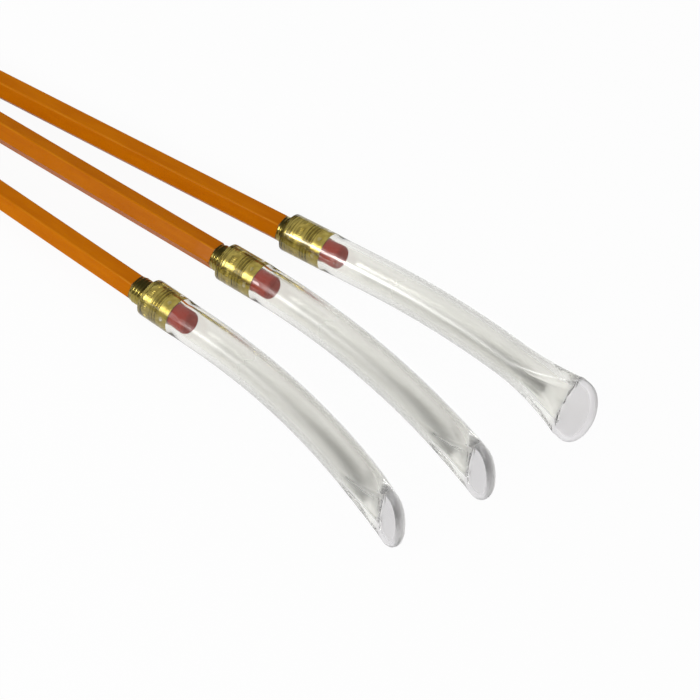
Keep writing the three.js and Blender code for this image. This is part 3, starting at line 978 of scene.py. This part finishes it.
def inner_ring(distance, unit):
    share = pinch(distance, 0)
    radius = mix(mix(GRIP_BORE, TUBE_BORE, past_lip(distance, unit)), SLIT_HALF_HEIGHT, share)
    wide = SLIT_HALF_FLAT * share * FLAT + radius * np.sin(ANGLE)
    wall = mix(TUBE_RADIUS, TAB_THICKNESS / 2, pinch(distance, FLARE_OVERRUN))
    sunk = min(facet_dip(distance, TUBE_RADIUS, wall), 0.6 * radius)
    return tube_ring(distance, unit, wide, radius * np.cos(ANGLE) - FACE * sunk * facet_profile())


def mouth_rings(unit):
    """The cut mouth, with its two edges just broken."""
    soft = MOUTH_ROUND
    shapes = [(soft, 0), (soft * 0.3, soft * 0.3), (0, soft)]
    rings = [(place, GRIP_BORE + back) for place, back in shapes]
    rings += [(place, TUBE_RADIUS + STRETCH - back) for place, back in reversed(shapes)]
    return [
        tube_ring(place, unit, radius * np.sin(ANGLE), radius * np.cos(ANGLE)) for place, radius in rings
    ]


def chew_tube(unit):
    """The whole tube: up the lumen from the heat seal to the mouth, and back along the outside."""
    lip = lip_place(unit)
    gripped = np.concatenate([
        np.linspace(MOUTH_ROUND, lip, 10, endpoint=False)[1:],
        np.linspace(lip, lip + STRETCH_EASE, 8, endpoint=False),
    ])
    lumen = np.concatenate([
        gripped,
        np.linspace(lip + STRETCH_EASE, PINCH_START, 60, endpoint=False),
        np.linspace(PINCH_START, SEAL_START, 60),
    ])
    outside = np.concatenate([
        gripped,
        np.linspace(lip + STRETCH_EASE, PINCH_START, 70, endpoint=False),
        np.linspace(PINCH_START, SEAL_START - 1.2, 70, endpoint=False),
        np.linspace(SEAL_START - 1.2, SEAL_START + 2, 40),
    ])
    rings = [inner_ring(distance, unit) for distance in lumen[::-1]]
    rings += mouth_rings(unit)
    inside_count = (len(rings) - 3) * len(ANGLE)
    rings += [outer_ring(distance, unit) for distance in outside]
    round_start = TUBE_LENGTH - TAB_END_ROUND
    rings += [outer_ring(distance, unit) for distance in np.linspace(outside[-1] + 0.2, round_start, 12)]
    end_steps = 44
    for step in range(1, end_steps):
        angle = step / end_steps * math.pi / 2
        distance = round_start + TAB_END_ROUND * math.sin(angle) ** (2 / TAB_END_POWER)
        rings.append(outer_ring(distance, unit))
    obj = skin(f"{unit}_clear_tube", [bent for bent, straight in rings], "ends")
    places = np.concatenate([straight for bent, straight in rings])
    keep_bench(obj.data, np.concatenate([places, [(SEAL_START, 0, 0), (TUBE_LENGTH, 0, 0)]]))
    inside = np.zeros(len(places) + 2, np.float32)
    inside[:inside_count] = 1
    keep_shares(obj.data, "in_bore", inside)
    roll = math.radians(UNITS[unit]["tab_roll"])
    wide = math.cos(roll) * places[:, 1] + math.sin(roll) * places[:, 2]
    near_edge = 1 - smooth_step(distance_to_edge(wide, places[:, 0]), 0.9, 1.8)
    near_edge = near_edge * smooth_step(places[:, 0], SEAL_START, SEAL_START + 2.5) * (1 - inside[:-2])
    keep_shares(obj.data, "tab_rim", np.concatenate([near_edge, [0, 1]]))
    return obj


# The setting


def floor_material():
    """White paper that takes the object's shadow, and shows almost white to the eye and in gloss."""
    material, tree, shader = new_material("white_paper")
    put(tree, shader.inputs["Base Color"], (0.9, 0.9, 0.9, 1))
    put(tree, shader.inputs["Roughness"], 0.95)
    put(tree, shader.inputs["Specular IOR Level"], 0.0)
    path = node(tree, "ShaderNodeLightPath").outputs
    direct = product(tree, path["Is Camera Ray"], FLOOR_GLOW)
    in_gloss = product(tree, path["Is Glossy Ray"], FLOOR_GLOW_IN_GLOSS)
    through = product(tree, path["Is Transmission Ray"], FLOOR_GLOW_THROUGH)
    seen = maths(tree, "MAXIMUM", maths(tree, "MAXIMUM", direct, in_gloss), through)
    glow = node(tree, "ShaderNodeEmission", {"Color": (1, 1, 1, 1), "Strength": 1.0})
    shown = node(tree, "ShaderNodeMixShader")
    put(tree, shown.inputs[0], seen)
    put(tree, shown.inputs[1], shader.outputs[0])
    put(tree, shown.inputs[2], glow.outputs[0])
    show(tree, shown.outputs[0])
    return material


def lay_floor():
    mesh = bpy.data.meshes.new("floor")
    sides = [(-1, -1), (1, -1), (1, 1), (-1, 1)]
    corners = [(x * FLOOR_HALF_WIDTH, y * FLOOR_HALF_WIDTH, FLOOR_LEVEL) for x, y in sides]
    mesh.from_pydata(corners, [], [(0, 1, 2, 3)])
    mesh.materials.append(floor_material())
    floor = bpy.data.objects.new("floor", mesh)
    bpy.context.scene.collection.objects.link(floor)


def light_room():
    """A plain pale room. It is white to the eye. In gloss and through clear pieces it is darker, most
    of all behind the object, so that metal has contrast and clear pieces have edges. The metal under
    the clear pieces also mirrors a wide window round the key light."""
    world = bpy.data.worlds.new("pale_room")
    bpy.context.scene.world = world
    world.use_nodes = True
    tree = world.node_tree
    tree.nodes.clear()
    way = node(tree, "ShaderNodeTexCoord").outputs["Generated"]
    y = node(tree, "ShaderNodeSeparateXYZ", {0: way}).outputs[1]
    in_gloss = spread(tree, y, *ROOM_TURNS, ROOM_IN_GLOSS_FRONT, ROOM_IN_GLOSS_BACK)
    through = spread(tree, y, *ROOM_TURNS, ROOM_THROUGH_FRONT, ROOM_THROUGH_BACK)
    ways = {0: way, 1: Vector(KEY_DIRECTION).normalized()}
    facing = node(tree, "ShaderNodeVectorMath", ways, operation="DOT_PRODUCT").outputs["Value"]
    window = spread(tree, facing, math.cos(WINDOW_EDGE), math.cos(WINDOW_MIDDLE), 0, 1)
    through = node(tree, "ShaderNodeMix", {0: window, 2: through, 3: WINDOW_THROUGH}).outputs[0]
    path = node(tree, "ShaderNodeLightPath").outputs
    seen = node(tree, "ShaderNodeMix", {0: path["Is Glossy Ray"], 2: ROOM_FILL, 3: in_gloss}).outputs[0]
    seen = node(tree, "ShaderNodeMix", {0: path["Is Transmission Ray"], 2: seen, 3: through}).outputs[0]
    strength = node(tree, "ShaderNodeMix", {0: path["Is Camera Ray"], 2: seen, 3: 1.0}).outputs[0]
    background = node(tree, "ShaderNodeBackground", {"Color": (1, 1, 1, 1), "Strength": strength})
    output = node(tree, "ShaderNodeOutputWorld")
    put(tree, output.inputs[0], background.outputs[0])


def add_lamp(name, towards, distance, size, power):
    """A square soft light that faces the middle of the toppers from a distance."""
    data = bpy.data.lights.new(name, "AREA")
    data.size = size
    data.energy = power
    lamp = bpy.data.objects.new(name, data)
    way = Vector(towards).normalized()
    lamp.location = Vector(LAMPS_FACE) + way * distance
    lamp.rotation_euler = way.to_track_quat("Z", "Y").to_euler()
    bpy.context.scene.collection.objects.link(lamp)


def set_camera(anchor):
    """Looks from the photograph's angle, with the anchor where the photograph has it."""
    sin_a, cos_a = math.sin(VIEW_AZIMUTH), math.cos(VIEW_AZIMUTH)
    sin_e, cos_e = math.sin(VIEW_ELEVATION), math.cos(VIEW_ELEVATION)
    towards = Vector((sin_a * cos_e, -cos_a * cos_e, sin_e))
    right = Vector((cos_a, sin_a, 0))
    up = towards.cross(right)
    across = (IMAGE_SIZE / 2 - ANCHOR_PIXEL_X) / PIXELS_PER_METRE
    down = (IMAGE_SIZE / 2 - ANCHOR_PIXEL_Y) / PIXELS_PER_METRE
    aim = anchor + right * across - up * down
    data = bpy.data.cameras.new("camera")
    data.sensor_width = SENSOR_WIDTH
    data.lens = SENSOR_WIDTH * VIEW_DISTANCE / (IMAGE_SIZE / PIXELS_PER_METRE)
    data.clip_end = 10
    camera = bpy.data.objects.new("camera", data)
    turn = Matrix((right, up, towards)).transposed().to_4x4()
    camera.matrix_world = Matrix.Translation(aim + towards * VIEW_DISTANCE) @ turn
    bpy.context.scene.collection.objects.link(camera)
    bpy.context.scene.camera = camera


# Putting it together


def place(obj, matrix, material, body, slot, nodes):
    """Moves the piece's mesh to its place, gives it its finish, and ties it to its body."""
    obj.data.transform(matrix)
    if not obj.data.materials:
        obj.data.materials.append(material)
    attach(obj, body)
    if nodes:
        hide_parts(*nodes)


def make_unit(unit, seed, finishes, trees, ridge_shape):
    straight_up = unit_matrix(unit)
    rolled = straight_up @ Matrix.Rotation(math.radians(UNITS[unit]["hex_roll"]), 4, "X")
    pencil = f"{unit}_pencil"
    slats = [f"{unit}_upper_slat", f"{unit}_lower_slat"]
    place(cedar_body(unit), rolled, finishes["cedar"], pencil, "lacquered_wood", slats)
    place(lacquer_coat(unit), rolled, finishes["lacquer"], pencil, "lacquered_wood", slats)
    place(lead_core(unit), straight_up, finishes["graphite"], pencil, "graphite", [f"{unit}_lead"])
    ferrule = brass_ferrule(unit, trees["rolling"], finishes["brass"])
    place(ferrule, straight_up, finishes["brass"], pencil, "brass", [f"{unit}_ferrule"])
    ridges = band_ridges(unit, trees["ridges"], ridge_shape, finishes["brass"])
    place(ridges, straight_up, finishes["brass"], pencil, "brass", [])
    eraser = eraser_plug(unit, seed)
    place(eraser, straight_up, finishes["rubber"], pencil, "eraser_rubber", [f"{unit}_eraser"])
    tube = chew_tube(unit)
    place(tube, straight_up, finishes["vinyl"], f"{unit}_topper", "clear_tube", [f"{unit}_chew_tube"])


FINISHES = {
    "lacquer": lacquer_material(),
    "cedar": cedar_material(),
    "graphite": graphite_material(),
    "brass": brass_material(),
    "rubber": rubber_material(),
    "vinyl": clear_vinyl_material(),
}
TREES = {"rolling": rolling_tree(), "ridges": ridges_tree()}
RIDGE_SHAPE = ridge()

bpy.context.scene.view_settings.view_transform = "Standard"
lay_floor()
light_room()
add_lamp("key", KEY_DIRECTION, KEY_DISTANCE, KEY_SIZE, KEY_POWER)
add_lamp("soft_surround", KEY_DIRECTION, SURROUND_DISTANCE, SURROUND_SIZE, SURROUND_POWER)
set_camera(unit_matrix("middle").translation)

for number, unit_name in enumerate(UNITS):
    make_unit(unit_name, number, FINISHES, TREES, RIDGE_SHAPE)
bpy.data.objects.remove(RIDGE_SHAPE)
